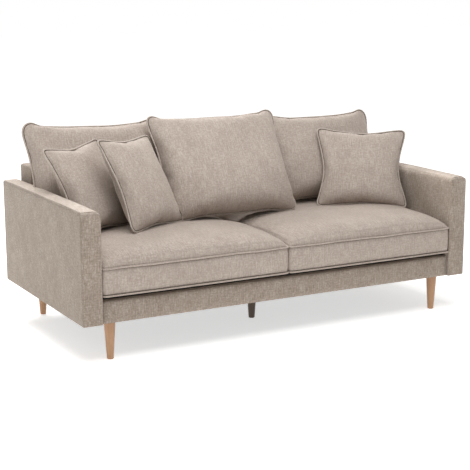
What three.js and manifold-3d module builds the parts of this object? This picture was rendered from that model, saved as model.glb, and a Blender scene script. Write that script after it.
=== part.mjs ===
// A two-seat-cushion track-arm sofa on turned wooden legs, with three loose back cushions and
// three scatter cushions. Millimetres, +Z up, origin on the floor under the middle, front at -Y.

import * as THREE from "three";
import { mergeVertices } from "three/addons/utils/BufferGeometryUtils.js";
import Module from "manifold-3d";

const wasm = await Module();
wasm.setup();

// ---- Driving dimensions ----------------------------------------------------------------------

const WIDTH = 1900; // over the arms
const DEPTH = 946; // arm front to arm back
const ARM_TOP = 627;
const ARM_THICKNESS = 85;
const BACK_TOP = 697; // top of the upholstered back frame
const BACK_THICKNESS = 140;
const LEG_HEIGHT = 162;
const RAIL_TOP = 255; // top of the covered front rail
const RAIL_RECESS = 18; // the front rail sits this far behind the arm fronts
const SEAT_BOTTOM = 275;
const SEAT_BORDER_TOP = 390; // top piping of the boxed seat cushions
const SEAT_CROWN = 82; // rise of the top panel above its piping
const GAP = 0.3; // between pieces that touch

const INNER = WIDTH / 2 - ARM_THICKNESS; // inner face of an arm, from the middle
const FRONT = -DEPTH / 2;
const REAR = DEPTH / 2;
const BACK_FRONT = REAR - BACK_THICKNESS;
const UNDERSIDE = LEG_HEIGHT + GAP;
const DUST_COVER = 2;
const FRAME_FLOOR = UNDERSIDE + DUST_COVER + 0.7; // lowest level of the timber

// ---- Materials -------------------------------------------------------------------------------

function finish(color, roughness, metalness = 0) {
  return new THREE.MeshStandardMaterial({ color, roughness, metalness });
}

const chenille = () => finish("#aca093", 0.95);
const calico = () => finish("#e4ddcf", 0.9);
const oiledBeech = () => finish("#c89a6c", 0.5);
const darkBeech = () => finish("#6b4a35", 0.5);
const pine = () => finish("#d2b083", 0.75);
const zincSteel = () => finish("#a9adb0", 0.4, 1);
const springSteel = () => finish("#4d4f52", 0.45, 1);
const nonwoven = () => finish("#3a3836", 0.95);

// ---- Building helpers ------------------------------------------------------------------------

const sofa = new THREE.Group();

function add(name, geometry, material, parent = sofa) {
  const mesh = new THREE.Mesh(geometry, material);
  mesh.name = name;
  parent.add(mesh);
  return mesh;
}

// A closed geometry as a solid that can be joined and cut.
function solid(geometry) {
  const bare = geometry.clone();
  bare.deleteAttribute("normal");
  bare.deleteAttribute("uv");
  const welded = mergeVertices(bare, 1e-3);
  const vertProperties = new Float32Array(welded.attributes.position.array);
  const triVerts = new Uint32Array(welded.index.array);
  return new wasm.Manifold(new wasm.Mesh({ numProp: 3, vertProperties, triVerts }));
}

function geometryOf(manifold) {
  const mesh = manifold.getMesh();
  const geometry = new THREE.BufferGeometry();
  geometry.setAttribute("position", new THREE.BufferAttribute(mesh.vertProperties, 3));
  geometry.setIndex(new THREE.BufferAttribute(mesh.triVerts, 1));
  return geometry;
}

// A box between two corners.
function block([x0, y0, z0], [x1, y1, z1]) {
  const geometry = new THREE.BoxGeometry(x1 - x0, y1 - y0, z1 - z0);
  return geometry.translate((x0 + x1) / 2, (y0 + y1) / 2, (z0 + z1) / 2);
}

function upright(radius, x, y, z0, z1, sides = 12) {
  const geometry = new THREE.CylinderGeometry(radius, radius, z1 - z0, sides);
  return geometry.rotateX(Math.PI / 2).translate(x, y, (z0 + z1) / 2);
}

// Extrudes an outline drawn in X and Z along Y, from y0 to y1.
function alongY(shape, y0, y1, curveSegments = 4) {
  const options = { depth: y1 - y0, bevelEnabled: false, curveSegments };
  const geometry = new THREE.ExtrudeGeometry(shape, options);
  return geometry.rotateX(Math.PI / 2).translate(0, y1, 0);
}

// Extrudes an outline drawn in Y and Z along X, from x0 to x1.
function alongX(shape, x0, x1, curveSegments = 4) {
  const options = { depth: x1 - x0, bevelEnabled: false, curveSegments };
  const geometry = new THREE.ExtrudeGeometry(shape, options);
  const turned = new THREE.Matrix4().makeBasis(
    new THREE.Vector3(0, 1, 0),
    new THREE.Vector3(0, 0, 1),
    new THREE.Vector3(1, 0, 0),
  );
  return geometry.applyMatrix4(turned).translate(x0, 0, 0);
}

// An outline through corners [a, b, radius], each rounded by its radius.
function roundedOutline(corners) {
  const shape = new THREE.Shape();
  corners.forEach(([a, b, radius], i) => {
    const corner = new THREE.Vector2(a, b);
    const before = new THREE.Vector2(...corners.at(i - 1).slice(0, 2));
    before.sub(corner).setLength(radius);
    const after = new THREE.Vector2(...corners[(i + 1) % corners.length].slice(0, 2));
    after.sub(corner).setLength(radius);
    const start = corner.clone().add(before);
    const end = corner.clone().add(after);
    if (i === 0) shape.moveTo(start.x, start.y);
    else shape.lineTo(start.x, start.y);
    if (radius > 0) shape.quadraticCurveTo(a, b, end.x, end.y);
  });
  shape.closePath();
  return shape;
}

// ---- Legs and their hanger bolts -------------------------------------------------------------

const LEG_TOP_RADIUS = 24.5;
const LEG_FOOT_RADIUS = 14;
const LEG_FOOT_ROUND = 3;
const BOLT_RADIUS = 4; // M8 hanger bolt
const BOLT_IN_LEG = 40;
const BOLT_IN_FRAME = 52;

const LEG_X = 813;
const LEG_FRONT_Y = -410;
const LEG_REAR_Y = 384;
const CENTRE_LEG_Y = -141;
const LEGS = {
  front_left: [-LEG_X, LEG_FRONT_Y],
  front_right: [LEG_X, LEG_FRONT_Y],
  rear_left: [-LEG_X, LEG_REAR_Y],
  rear_right: [LEG_X, LEG_REAR_Y],
  centre: [0, CENTRE_LEG_Y],
};

// A turned leg: a straight taper with an eased foot and top edge, bored for its bolt.
function legGeometry() {
  const bore = BOLT_RADIUS + GAP;
  const profile = [
    [0, 0],
    [LEG_FOOT_RADIUS - LEG_FOOT_ROUND, 0],
    [LEG_FOOT_RADIUS - 0.6, LEG_FOOT_ROUND * 0.4],
    [LEG_FOOT_RADIUS + 0.4, LEG_FOOT_ROUND * 1.6],
    [LEG_TOP_RADIUS, LEG_HEIGHT - 2],
    [LEG_TOP_RADIUS - 1, LEG_HEIGHT],
    [bore, LEG_HEIGHT],
    [bore, LEG_HEIGHT - BOLT_IN_LEG - GAP],
    [0, LEG_HEIGHT - BOLT_IN_LEG - GAP],
  ];
  const points = profile.map(([radius, height]) => new THREE.Vector2(radius, height));
  return new THREE.LatheGeometry(points, 20).rotateX(Math.PI / 2);
}

for (const [place, [x, y]] of Object.entries(LEGS)) {
  const wood = place === "centre" ? darkBeech() : oiledBeech();
  add(`leg_${place}`, legGeometry(), wood).position.set(x, y, 0);
  const bolt = upright(BOLT_RADIUS, x, y, LEG_HEIGHT - BOLT_IN_LEG, LEG_HEIGHT + BOLT_IN_FRAME, 8);
  add(`leg_bolt_${place}`, bolt, zincSteel());
}

function boltHole([x, y], z0 = 0, z1 = 400) {
  return solid(upright(BOLT_RADIUS + GAP, x, y, z0, z1, 8));
}

// ---- Seat frame ------------------------------------------------------------------------------

const BOARD = 24;
const RAIL_COVER_FRONT = FRONT + RAIL_RECESS;
const RAIL_FOAM = 6;
const BOARD_TOP = 246.5;
const FRONT_BOARD_Y = RAIL_COVER_FRONT + RAIL_FOAM + GAP;
const BAY_FRONT = FRONT_BOARD_Y + BOARD; // inside of the front rail
const SEAT_REAR_BOARD_Y = BACK_FRONT - GAP - BOARD;
const FRAME_HALF = INNER - 1;
const CENTRE_RAIL_HALF = 22;
const CENTRE_RAIL_TOP = 236;
const BLOCK = 78;
const BLOCK_TOP = 226;

function seatFrame() {
  const floor = FRAME_FLOOR;
  const bayRear = SEAT_REAR_BOARD_Y - GAP;
  const sideInner = FRAME_HALF - BOARD;
  const rail = (y) => block([-FRAME_HALF, y, floor], [FRAME_HALF, y + BOARD, BOARD_TOP]);
  add("front_rail", rail(FRONT_BOARD_Y), pine());
  add("seat_rear_rail", rail(SEAT_REAR_BOARD_Y), pine());
  for (const [side, sign] of [["left", -1], ["right", 1]]) {
    const x = sign < 0 ? -FRAME_HALF : sideInner;
    const board = block([x, BAY_FRONT + GAP, floor], [x + BOARD, bayRear, BOARD_TOP]);
    add(`side_rail_${side}`, board, pine());
    const nearX = sign < 0 ? -sideInner + GAP : sideInner - GAP - BLOCK;
    const corner = block(
      [nearX, BAY_FRONT + GAP, floor],
      [nearX + BLOCK, BAY_FRONT + GAP + BLOCK, BLOCK_TOP],
    );
    const bored = solid(corner).subtract(boltHole(LEGS[`front_${side}`]));
    add(`corner_block_front_${side}`, geometryOf(bored), pine());
  }
  const centre = block(
    [-CENTRE_RAIL_HALF, BAY_FRONT + GAP, floor],
    [CENTRE_RAIL_HALF, bayRear, CENTRE_RAIL_TOP],
  );
  add("centre_rail", geometryOf(solid(centre).subtract(boltHole(LEGS.centre))), pine());
}
seatFrame();

// ---- Sinuous seat springs --------------------------------------------------------------------

const WIRE_RADIUS = 1.9;
const SPRING_SLACK = 2.4; // room over a spring end, under the rail cover
const SPRING_HALF_WIDTH = 24;
const SPRING_BARS = 15;
const SPRING_RISE = 17;
const SPRINGS_PER_BAY = 4;

// One wire that snakes from the front rail to the rear rail and arches up in between.
function springGeometry(x) {
  const y0 = BAY_FRONT - BOARD / 2;
  const y1 = SEAT_REAR_BOARD_Y + BOARD / 2;
  const end = BOARD_TOP + GAP + WIRE_RADIUS;
  const points = [];
  for (let i = 0; i <= SPRING_BARS; i += 1) {
    const t = i / SPRING_BARS;
    const side = i % 2 === 0 ? -1 : 1;
    const rise = SPRING_RISE * 4 * t * (1 - t);
    points.push(new THREE.Vector3(x + side * SPRING_HALF_WIDTH, y0 + t * (y1 - y0), end + rise));
  }
  const path = new THREE.CatmullRomCurve3(points, false, "centripetal");
  const section = new THREE.Shape().absarc(0, 0, WIRE_RADIUS, 0, 2 * Math.PI);
  return new THREE.ExtrudeGeometry(section, {
    steps: SPRING_BARS * 2,
    extrudePath: path,
    bevelEnabled: false,
    curveSegments: 2,
  });
}

function springs() {
  const bay = FRAME_HALF - BOARD - CENTRE_RAIL_HALF;
  for (const [side, sign] of [["left", -1], ["right", 1]]) {
    for (let i = 1; i <= SPRINGS_PER_BAY; i += 1) {
      const x = sign * (CENTRE_RAIL_HALF + (bay * (i - 0.5)) / SPRINGS_PER_BAY);
      add(`seat_spring_${side}_${i}`, springGeometry(x), springSteel());
    }
  }
}
springs();

// ---- Seat deck, front rail cover and dust cover ----------------------------------------------

const DECK_TOP = 273;
const DECK_CLOTH = 2.5;

function seatDeck() {
  const front = BAY_FRONT + 1;
  const rear = BACK_FRONT - 7;
  const ramp = 24;
  const low = RAIL_TOP + DECK_CLOTH;
  const outline = roundedOutline([
    [front, low - DECK_CLOTH, 0],
    [front + ramp, DECK_TOP - DECK_CLOTH, 0],
    [rear, DECK_TOP - DECK_CLOTH, 0],
    [rear, DECK_TOP, 0],
    [front + ramp, DECK_TOP, 0],
    [front, low, 0],
  ]);
  add("seat_deck_cloth", alongX(outline, -INNER + 2, INNER - 2), nonwoven());
}
seatDeck();

function frontRailCover() {
  const inside = RAIL_COVER_FRONT + RAIL_FOAM;
  const under = BOARD_TOP + 2 * WIRE_RADIUS + SPRING_SLACK;
  const outline = roundedOutline([
    [RAIL_COVER_FRONT, UNDERSIDE, 2],
    [inside, UNDERSIDE, 0],
    [inside, under, 0],
    [BAY_FRONT, under, 0],
    [BAY_FRONT, RAIL_TOP, 0],
    [RAIL_COVER_FRONT, RAIL_TOP, 14],
  ]);
  add("front_rail_cover", alongX(outline, -INNER + GAP, INNER - GAP), chenille());
}
frontRailCover();

function dustCover() {
  const front = RAIL_COVER_FRONT + RAIL_FOAM + GAP;
  const sheet = block(
    [-INNER + GAP, front, UNDERSIDE],
    [INNER - GAP, REAR - 1, UNDERSIDE + DUST_COVER],
  );
  const holes = Object.values(LEGS).map((place) => boltHole(place));
  const cut = holes.reduce((rest, hole) => rest.subtract(hole), solid(sheet));
  add("dust_cover", geometryOf(cut), nonwoven());
}
dustCover();

// ---- Arms ------------------------------------------------------------------------------------

const ARM_OUTER_WALL = 10;
const ARM_INNER_WALL = 20;
const ARM_END_WALL = 22;
const ARM_TOP_WALL = 20;
const ARM_POST = 58;
const ARM_TOP_RAIL = 40;

// The left arm's outer top edge is crisp; the right one's is rounded over.
const ARM_OUTER_ROLL = { left: 7, right: 26 };

// A padded cover, open underneath, over the timber of one arm.
function armCover(side, sign) {
  const inner = sign * INNER;
  const outer = (sign * WIDTH) / 2;
  const section = roundedOutline([
    [outer, UNDERSIDE, 3],
    [inner, UNDERSIDE, 3],
    [inner, ARM_TOP, 30],
    [outer, ARM_TOP, ARM_OUTER_ROLL[side]],
  ]);
  const profile = roundedOutline([
    [FRONT, UNDERSIDE, 6],
    [REAR, UNDERSIDE, 6],
    [REAR, ARM_TOP, 8],
    [FRONT, ARM_TOP, 18],
  ]);
  const body = solid(alongY(section, FRONT, REAR));
  const shaped = body.intersect(solid(alongX(profile, -WIDTH, WIDTH)));
  const walls = [outer - sign * ARM_OUTER_WALL, inner + sign * ARM_INNER_WALL];
  walls.sort((a, b) => a - b);
  const cavity = block(
    [walls[0], FRONT + ARM_END_WALL, 0],
    [walls[1], REAR - ARM_END_WALL, ARM_TOP - ARM_TOP_WALL],
  );
  return geometryOf(shaped.subtract(solid(cavity)));
}

function arm(side, sign) {
  add(`arm_cover_${side}`, armCover(side, sign), chenille());
  const edges = [sign * (WIDTH / 2 - ARM_OUTER_WALL - GAP), sign * (INNER + ARM_INNER_WALL + GAP)];
  const [x0, x1] = edges.sort((a, b) => a - b);
  const front = FRONT + ARM_END_WALL + GAP;
  const rear = REAR - ARM_END_WALL - GAP;
  const top = ARM_TOP - ARM_TOP_WALL - GAP;
  const railBottom = top - ARM_TOP_RAIL;
  const post = (y) => block([x0, y, FRAME_FLOOR], [x1, y + ARM_POST, railBottom - GAP]);
  add(`arm_post_front_${side}`, post(front), pine());
  add(`arm_post_rear_${side}`, post(rear - ARM_POST), pine());
  add(`arm_top_rail_${side}`, block([x0, front, railBottom], [x1, rear, top]), pine());
}
arm("left", -1);
arm("right", 1);

// ---- Back frame ------------------------------------------------------------------------------

const BACK_FOAM = 30; // front wall of the cover
const BACK_WALL = 12;
const BACK_POST_WIDTH = 45;
const BACK_POST_DEPTH = 85;
const BACK_TOP_RAIL = 45;

function backCover() {
  const half = INNER - GAP;
  const floor = UNDERSIDE + DUST_COVER + GAP;
  const section = roundedOutline([
    [BACK_FRONT, floor, 0],
    [REAR, floor, 0],
    [REAR, BACK_TOP, 12],
    [BACK_FRONT, BACK_TOP, 20],
  ]);
  const cavity = block(
    [-half + BACK_WALL, BACK_FRONT + BACK_FOAM, 0],
    [half - BACK_WALL, REAR - BACK_WALL, BACK_TOP - BACK_WALL],
  );
  const body = solid(alongX(section, -half, half));
  add("back_cover", geometryOf(body.subtract(solid(cavity))), chenille());
}
backCover();

function backFrame() {
  const half = INNER - BACK_WALL - 2 * GAP;
  const y0 = BACK_FRONT + BACK_FOAM + 5;
  const y1 = y0 + BACK_POST_DEPTH;
  const top = BACK_TOP - BACK_WALL - GAP;
  const railBottom = top - BACK_TOP_RAIL;
  const posts = { left: -half, centre: -BACK_POST_WIDTH / 2, right: half - BACK_POST_WIDTH };
  for (const [place, x] of Object.entries(posts)) {
    const post = block([x, y0, BLOCK_TOP + GAP], [x + BACK_POST_WIDTH, y1, railBottom - GAP]);
    add(`back_post_${place}`, post, pine());
  }
  add("back_top_rail", block([-half, y0, railBottom], [half, y1, top]), pine());
  const bottomRail = block(
    [-half + BLOCK + GAP, y0, FRAME_FLOOR],
    [half - BLOCK - GAP, y0 + 30, BLOCK_TOP],
  );
  add("back_bottom_rail", bottomRail, pine());
  for (const [side, x] of [["left", -half], ["right", half - BLOCK]]) {
    const foot = block([x, BACK_FRONT + BACK_FOAM + GAP, FRAME_FLOOR], [x + BLOCK, y1, BLOCK_TOP]);
    const bored = solid(foot).subtract(boltHole(LEGS[`rear_${side}`]));
    add(`corner_block_rear_${side}`, geometryOf(bored), pine());
  }
}
backFrame();

// ---- Boxed seat cushions ---------------------------------------------------------------------

const CLOTH = 3; // cover cloth with its lining
const FIT = 0.5; // insert to cover
const SEAT_SIDE_GAP = 1.5;
const SEAT_WIDTH = INNER - 2 * SEAT_SIDE_GAP;
const SEAT_DEPTH = BACK_FRONT - 2 - FRONT;
const ZIP_WIDTH = 0.6; // share of the cushion's width
const ZIP_OPEN = 5;

// A box with a domed top, shrunk on every side by `inset`.
function boxedCushion(inset) {
  const width = SEAT_WIDTH - 2 * inset;
  const depth = SEAT_DEPTH - 2 * inset;
  const border = SEAT_BORDER_TOP - SEAT_BOTTOM - 2 * inset;
  const geometry = new THREE.BoxGeometry(width, depth, border, 8, 8, 1);
  const position = geometry.attributes.position;
  for (let i = 0; i < position.count; i += 1) {
    if (position.getZ(i) <= 0) continue;
    const across = (2 * position.getX(i)) / width;
    const along = (2 * position.getY(i)) / depth;
    const dome = Math.max(0, (1 - across ** 4) * (1 - along ** 4)) ** 0.4;
    position.setZ(i, border / 2 + SEAT_CROWN * dome);
  }
  return geometry;
}

function seatCushion(side, sign) {
  const place = new THREE.Vector3(
    sign * (SEAT_SIDE_GAP / 2 + SEAT_WIDTH / 2),
    FRONT + SEAT_DEPTH / 2,
    (SEAT_BOTTOM + SEAT_BORDER_TOP) / 2,
  );
  const zip = new THREE.BoxGeometry(SEAT_WIDTH * ZIP_WIDTH, 20, ZIP_OPEN * 2);
  zip.translate(0, SEAT_DEPTH / 2, 0);
  const shell = solid(boxedCushion(0)).subtract(solid(boxedCushion(CLOTH))).subtract(solid(zip));
  add(`seat_cushion_cover_${side}`, geometryOf(shell), chenille()).position.copy(place);
  add(`seat_cushion_insert_${side}`, boxedCushion(CLOTH + FIT), calico()).position.copy(place);
}
seatCushion("left", -1);
seatCushion("right", 1);

// ---- Knife-edge cushions ---------------------------------------------------------------------

const EDGE = 14; // thickness left at the piped seam

// A pillow standing on its lower seam and facing -Y, shrunk on every side by `inset`.
function pillow({ width, height, thickness }, inset) {
  const [w, h] = [width - 2 * inset, height - 2 * inset];
  const geometry = new THREE.BoxGeometry(w, 2, h, 8, 1, 8);
  const position = geometry.attributes.position;
  const seam = EDGE / 2 - inset;
  const belly = thickness / 2 - inset - seam;
  for (let i = 0; i < position.count; i += 1) {
    const across = (2 * position.getX(i)) / w;
    const up = (2 * position.getZ(i)) / h;
    const swell = Math.sqrt(Math.max(0, (1 - across ** 2) * (1 - up ** 2)));
    position.setY(i, position.getY(i) * (seam + belly * swell));
  }
  return geometry;
}

// `turn` is about the vertical, `lean` is away from it, `roll` is in the cushion's own plane.
const CUSHIONS = {
  back_cushion_left: {
    at: [-581, 203, 684], width: 560, height: 440, thickness: 190, turn: 0, lean: 20.5, roll: 0,
  },
  back_cushion_centre: {
    at: [-4, 85, 690], width: 584, height: 480, thickness: 200, turn: 0, lean: 29.5, roll: 0,
  },
  back_cushion_right: {
    at: [581, 203, 677], width: 560, height: 425, thickness: 190, turn: 0, lean: 20.5, roll: 0,
  },
  scatter_cushion_corner: {
    at: [-732, -4, 651], width: 280, height: 380, thickness: 110, turn: 30, lean: 25, roll: 1,
  },
  scatter_cushion_left: {
    at: [-502, -55, 668], width: 330, height: 390, thickness: 110, turn: 33.5, lean: 27, roll: -2,
  },
  scatter_cushion_right: {
    at: [672, -20, 640], width: 370, height: 350, thickness: 110, turn: -27, lean: 25, roll: 0,
  },
};

function knifeEdgeCushion(name, cushion) {
  const place = new THREE.Group();
  const angles = [cushion.turn, cushion.lean, cushion.roll];
  const [turn, lean, roll] = angles.map(THREE.MathUtils.degToRad);
  place.position.set(...cushion.at);
  place.rotation.set(-lean, -roll, turn, "ZXY");
  sofa.add(place);
  const zip = new THREE.BoxGeometry(cushion.width * ZIP_WIDTH, ZIP_OPEN, 20);
  zip.translate(0, 0, -cushion.height / 2);
  const hollow = solid(pillow(cushion, 0)).subtract(solid(pillow(cushion, CLOTH)));
  const shell = hollow.subtract(solid(zip));
  add(`${name}_cover`, geometryOf(shell), chenille(), place);
  add(`${name}_insert`, pillow(cushion, CLOTH + FIT), calico(), place);
}

for (const [name, cushion] of Object.entries(CUSHIONS)) {
  knifeEdgeCushion(name, cushion);
}

export default sofa;
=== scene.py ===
import math

import bmesh
import bpy
from mathutils import Matrix, Vector, noise
from mathutils.bvhtree import BVHTree


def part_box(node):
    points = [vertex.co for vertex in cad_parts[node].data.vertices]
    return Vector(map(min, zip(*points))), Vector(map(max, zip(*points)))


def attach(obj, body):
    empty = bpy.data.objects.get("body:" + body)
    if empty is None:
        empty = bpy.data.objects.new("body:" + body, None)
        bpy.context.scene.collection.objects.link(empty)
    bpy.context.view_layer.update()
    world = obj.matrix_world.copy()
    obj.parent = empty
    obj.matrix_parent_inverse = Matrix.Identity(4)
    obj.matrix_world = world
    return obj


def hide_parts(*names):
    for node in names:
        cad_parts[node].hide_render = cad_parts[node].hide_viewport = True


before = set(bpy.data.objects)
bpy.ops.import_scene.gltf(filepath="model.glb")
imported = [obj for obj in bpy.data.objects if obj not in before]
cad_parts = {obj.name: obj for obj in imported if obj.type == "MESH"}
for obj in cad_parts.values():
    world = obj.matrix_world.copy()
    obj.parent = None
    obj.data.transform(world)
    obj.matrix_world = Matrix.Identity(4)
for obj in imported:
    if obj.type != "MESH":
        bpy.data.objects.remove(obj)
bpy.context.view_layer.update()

# ---- Camera ------------------------------------------------------------------------------------
# Stands in front of the sofa and well to its left, at standing height, with a short telephoto
# lens, and looks slightly down so that the seat and the arm tops just show.
CAMERA_PLACE = (-2.6585, -4.8584, 1.4924)
CAMERA_YAW = math.radians(28.61)
CAMERA_PITCH = math.radians(11.56)
CAMERA_ROLL = math.radians(-0.16)

camera = bpy.data.objects.new("camera", bpy.data.cameras.new("camera"))
bpy.context.scene.collection.objects.link(camera)
camera.data.lens = 93.7
camera.data.sensor_width = 36
camera.matrix_world = (
    Matrix.Translation(CAMERA_PLACE)
    @ Matrix.Rotation(-CAMERA_YAW, 4, "Z")
    @ Matrix.Rotation(math.pi / 2 - CAMERA_PITCH, 4, "X")
    @ Matrix.Rotation(CAMERA_ROLL, 4, "Z")
)
bpy.context.scene.camera = camera


# ---- Studio ------------------------------------------------------------------------------------
# A white sweep: a pale matt floor, an even white surround, a large soft box overhead, a little in
# front of the sofa, and a strip light behind it that brightens what faces up. From below, the
# floor is clear, so that the underside can be seen.
FLOOR_SIZE = 60
FLOOR_DROP = 0.0004  # keeps the floor off the feet
FLOOR_COLOUR = "F6F5F3"
SWEEP_START = 1.2  # distance from the middle where the floor begins to brighten into the sweep
SWEEP_END = 4.5
SWEEP_GLOW = (0.60, 0.86)  # its own light, near the sofa and far out
SURROUND_LIGHT = 0.295  # the surround's strength on the sofa; the camera sees it at 1
SOFT_BOX_SIZE = (3.2, 3.2)
SOFT_BOX_PLACE = (-0.5, -1.0, 3.3)
SOFT_BOX_AIM = Vector((0, 0, -1))
STRIP_SIZE = (2.4, 1.4)
STRIP_PLACE = (-0.1, 2.5, 2.6)
STRIP_AIM = Vector((0, 0, 0.5)) - Vector(STRIP_PLACE)
LAMP_POWER = 106  # watts, the same in both


def linear(hex_colour, alpha=1.0):
    """An sRGB hex colour as Blender's linear RGBA."""
    channels = [int(hex_colour[i : i + 2], 16) / 255 for i in (0, 2, 4)]
    return [c / 12.92 if c <= 0.04045 else ((c + 0.055) / 1.055) ** 2.4 for c in channels] + [alpha]


def add_node(tree, kind, inputs=None, **settings):
    """A shader node with its settings. A settings key that names an input sets its value, and
    inputs gives {input: value} or, for a link, {input: (node, output)}. A Mix node's two colours
    are its inputs 6 and 7, and its mixed colour is output 2."""
    node = tree.nodes.new("ShaderNode" + kind)
    for key, value in settings.items():
        label = key.replace("_", " ")
        if label in node.inputs:
            node.inputs[label].default_value = value
        else:
            setattr(node, key, value)
    for label, value in (inputs or {}).items():
        if isinstance(value, tuple):
            source, output = value
            tree.links.new(source.outputs[output], node.inputs[label])
        else:
            node.inputs[label].default_value = value
    return node


def new_material(name):
    """An empty node material and its tree."""
    material = bpy.data.materials.new(name)
    material.use_nodes = True
    material.node_tree.nodes.clear()
    return material, material.node_tree


def finish_piece(name, bm, material, smooth=True):
    """Turns a bmesh into a linked object at the origin."""
    for face in bm.faces:
        face.smooth = smooth
    mesh = bpy.data.meshes.new(name)
    bm.to_mesh(mesh)
    bm.free()
    mesh.materials.append(material)
    piece = bpy.data.objects.new(name, mesh)
    bpy.context.scene.collection.objects.link(piece)
    return piece


def studio_floor():
    material, tree = new_material("matt_white_sweep")
    paint = add_node(tree, "BsdfDiffuse", Color=linear(FLOOR_COLOUR))
    place = add_node(tree, "TexCoord")
    distance = add_node(tree, "VectorMath", inputs={0: (place, "Object")}, operation="LENGTH")
    brightness = add_node(
        tree,
        "MapRange",
        inputs={"Value": (distance, "Value")},
        interpolation_type="SMOOTHSTEP",
        From_Min=SWEEP_START,
        From_Max=SWEEP_END,
        To_Min=SWEEP_GLOW[0],
        To_Max=SWEEP_GLOW[1],
    )
    glow = add_node(
        tree, "Emission", inputs={"Strength": (brightness, "Result")}, Color=linear("FFFFFF")
    )
    both = add_node(tree, "AddShader", inputs={0: (paint, 0), 1: (glow, 0)})
    clear = add_node(tree, "BsdfTransparent")
    side = add_node(tree, "NewGeometry")
    shown = add_node(
        tree, "MixShader", inputs={0: (side, "Backfacing"), 1: (both, 0), 2: (clear, 0)}
    )
    add_node(tree, "OutputMaterial", inputs={"Surface": (shown, 0)})
    bm = bmesh.new()
    bmesh.ops.create_grid(bm, x_segments=1, y_segments=1, size=FLOOR_SIZE / 2)
    bmesh.ops.translate(bm, verts=bm.verts, vec=(0, 0, -FLOOR_DROP))
    finish_piece("studio_floor", bm, material, smooth=False)


def studio_light():
    world = bpy.data.worlds.new("white_surround")
    bpy.context.scene.world = world
    world.use_nodes = True
    tree = world.node_tree
    tree.nodes.clear()
    seen = add_node(tree, "LightPath")
    strength = add_node(
        tree,
        "MapRange",
        inputs={"Value": (seen, "Is Camera Ray")},
        To_Min=SURROUND_LIGHT,
        To_Max=1.0,
    )
    surround = add_node(
        tree, "Background", inputs={"Strength": (strength, "Result")}, Color=linear("FFFFFF")
    )
    add_node(tree, "OutputWorld", inputs={"Surface": (surround, 0)})
    for name, size, place, aim in (
        ("soft_box", SOFT_BOX_SIZE, SOFT_BOX_PLACE, SOFT_BOX_AIM),
        ("strip_light", STRIP_SIZE, STRIP_PLACE, STRIP_AIM),
    ):
        lamp = bpy.data.lights.new(name, "AREA")
        lamp.shape = "RECTANGLE"
        lamp.size, lamp.size_y = size
        lamp.energy = LAMP_POWER
        head = bpy.data.objects.new(name, lamp)
        turn = aim.to_track_quat("-Z", "Y").to_matrix().to_4x4()
        head.matrix_world = Matrix.Translation(place) @ turn
        bpy.context.scene.collection.objects.link(head)
    bpy.context.scene.view_settings.view_transform = "Standard"


studio_floor()
studio_light()


# ---- Legs --------------------------------------------------------------------------------------
# Five turned and tapered beech legs on hanger bolts. Four are clear-lacquered, with the grain
# along the leg; the middle one, a plain support, is given a darker beech: painted shade for the shadow
# under the seat.
CORNERS = ("front_left", "front_right", "rear_left", "rear_right")
LEG_SEGMENTS = 48
LEG_TAPER = 0.575  # the foot's radius as a share of the top's
LEG_TOP_EASE = 0.0012  # the worn roundness of the turned edges
LEG_FOOT_EASE = 0.0025
BEECH_STREAKS = 190  # growth streaks in a metre across the grain, about 5 mm each
BEECH_FLECK = 0.004  # spacing of the short ray flecks that mark beech
BEECH_RELIEF = 0.0004


def turned_beech(name, pale, deep, fleck):
    """Lacquered beech: straight, close grain with short darker flecks, and a satin skin."""
    material, tree = new_material(name)
    place = add_node(tree, "TexCoord")
    along = add_node(tree, "Mapping", inputs={"Vector": (place, "Object")}, Scale=(1, 1, 0.06))
    growth = add_node(
        tree,
        "TexNoise",
        inputs={"Vector": (along, "Vector")},
        Scale=BEECH_STREAKS,
        Detail=4,
        Distortion=0.6,
    )
    tone = add_node(
        tree,
        "Mix",
        inputs={"Factor": (growth, "Fac"), 6: linear(deep), 7: linear(pale)},
        data_type="RGBA",
    )
    short = add_node(tree, "Mapping", inputs={"Vector": (place, "Object")}, Scale=(1, 1, 0.3))
    rays = add_node(
        tree, "TexVoronoi", inputs={"Vector": (short, "Vector")}, Scale=1 / BEECH_FLECK
    )
    marked = add_node(
        tree, "MapRange", inputs={"Value": (rays, "Distance")}, From_Min=0.08, From_Max=0.2
    )
    mixed = add_node(
        tree,
        "Mix",
        inputs={"Factor": (marked, "Result"), 6: linear(fleck), 7: (tone, 2)},
        data_type="RGBA",
    )
    skin = add_node(
        tree, "Bump", inputs={"Height": (growth, "Fac")}, Strength=0.25, Distance=BEECH_RELIEF
    )
    shader = add_node(
        tree,
        "BsdfPrincipled",
        inputs={"Base Color": (mixed, 2), "Normal": (skin, "Normal")},
        Roughness=0.42,
        IOR=1.5,
        Coat_Weight=0.25,
        Coat_Roughness=0.25,
    )
    add_node(tree, "OutputMaterial", inputs={"Surface": (shader, 0)})
    return material


lacquered_beech = turned_beech("lacquered_beech", pale="BF936C", deep="9E7452", fleck="865E41")
# A darker copy of the beech for the middle leg: painted shade.
beech_painted_shade = turned_beech("beech_painted_shade", pale="5C4733", deep="403021", fleck="31251A")


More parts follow.
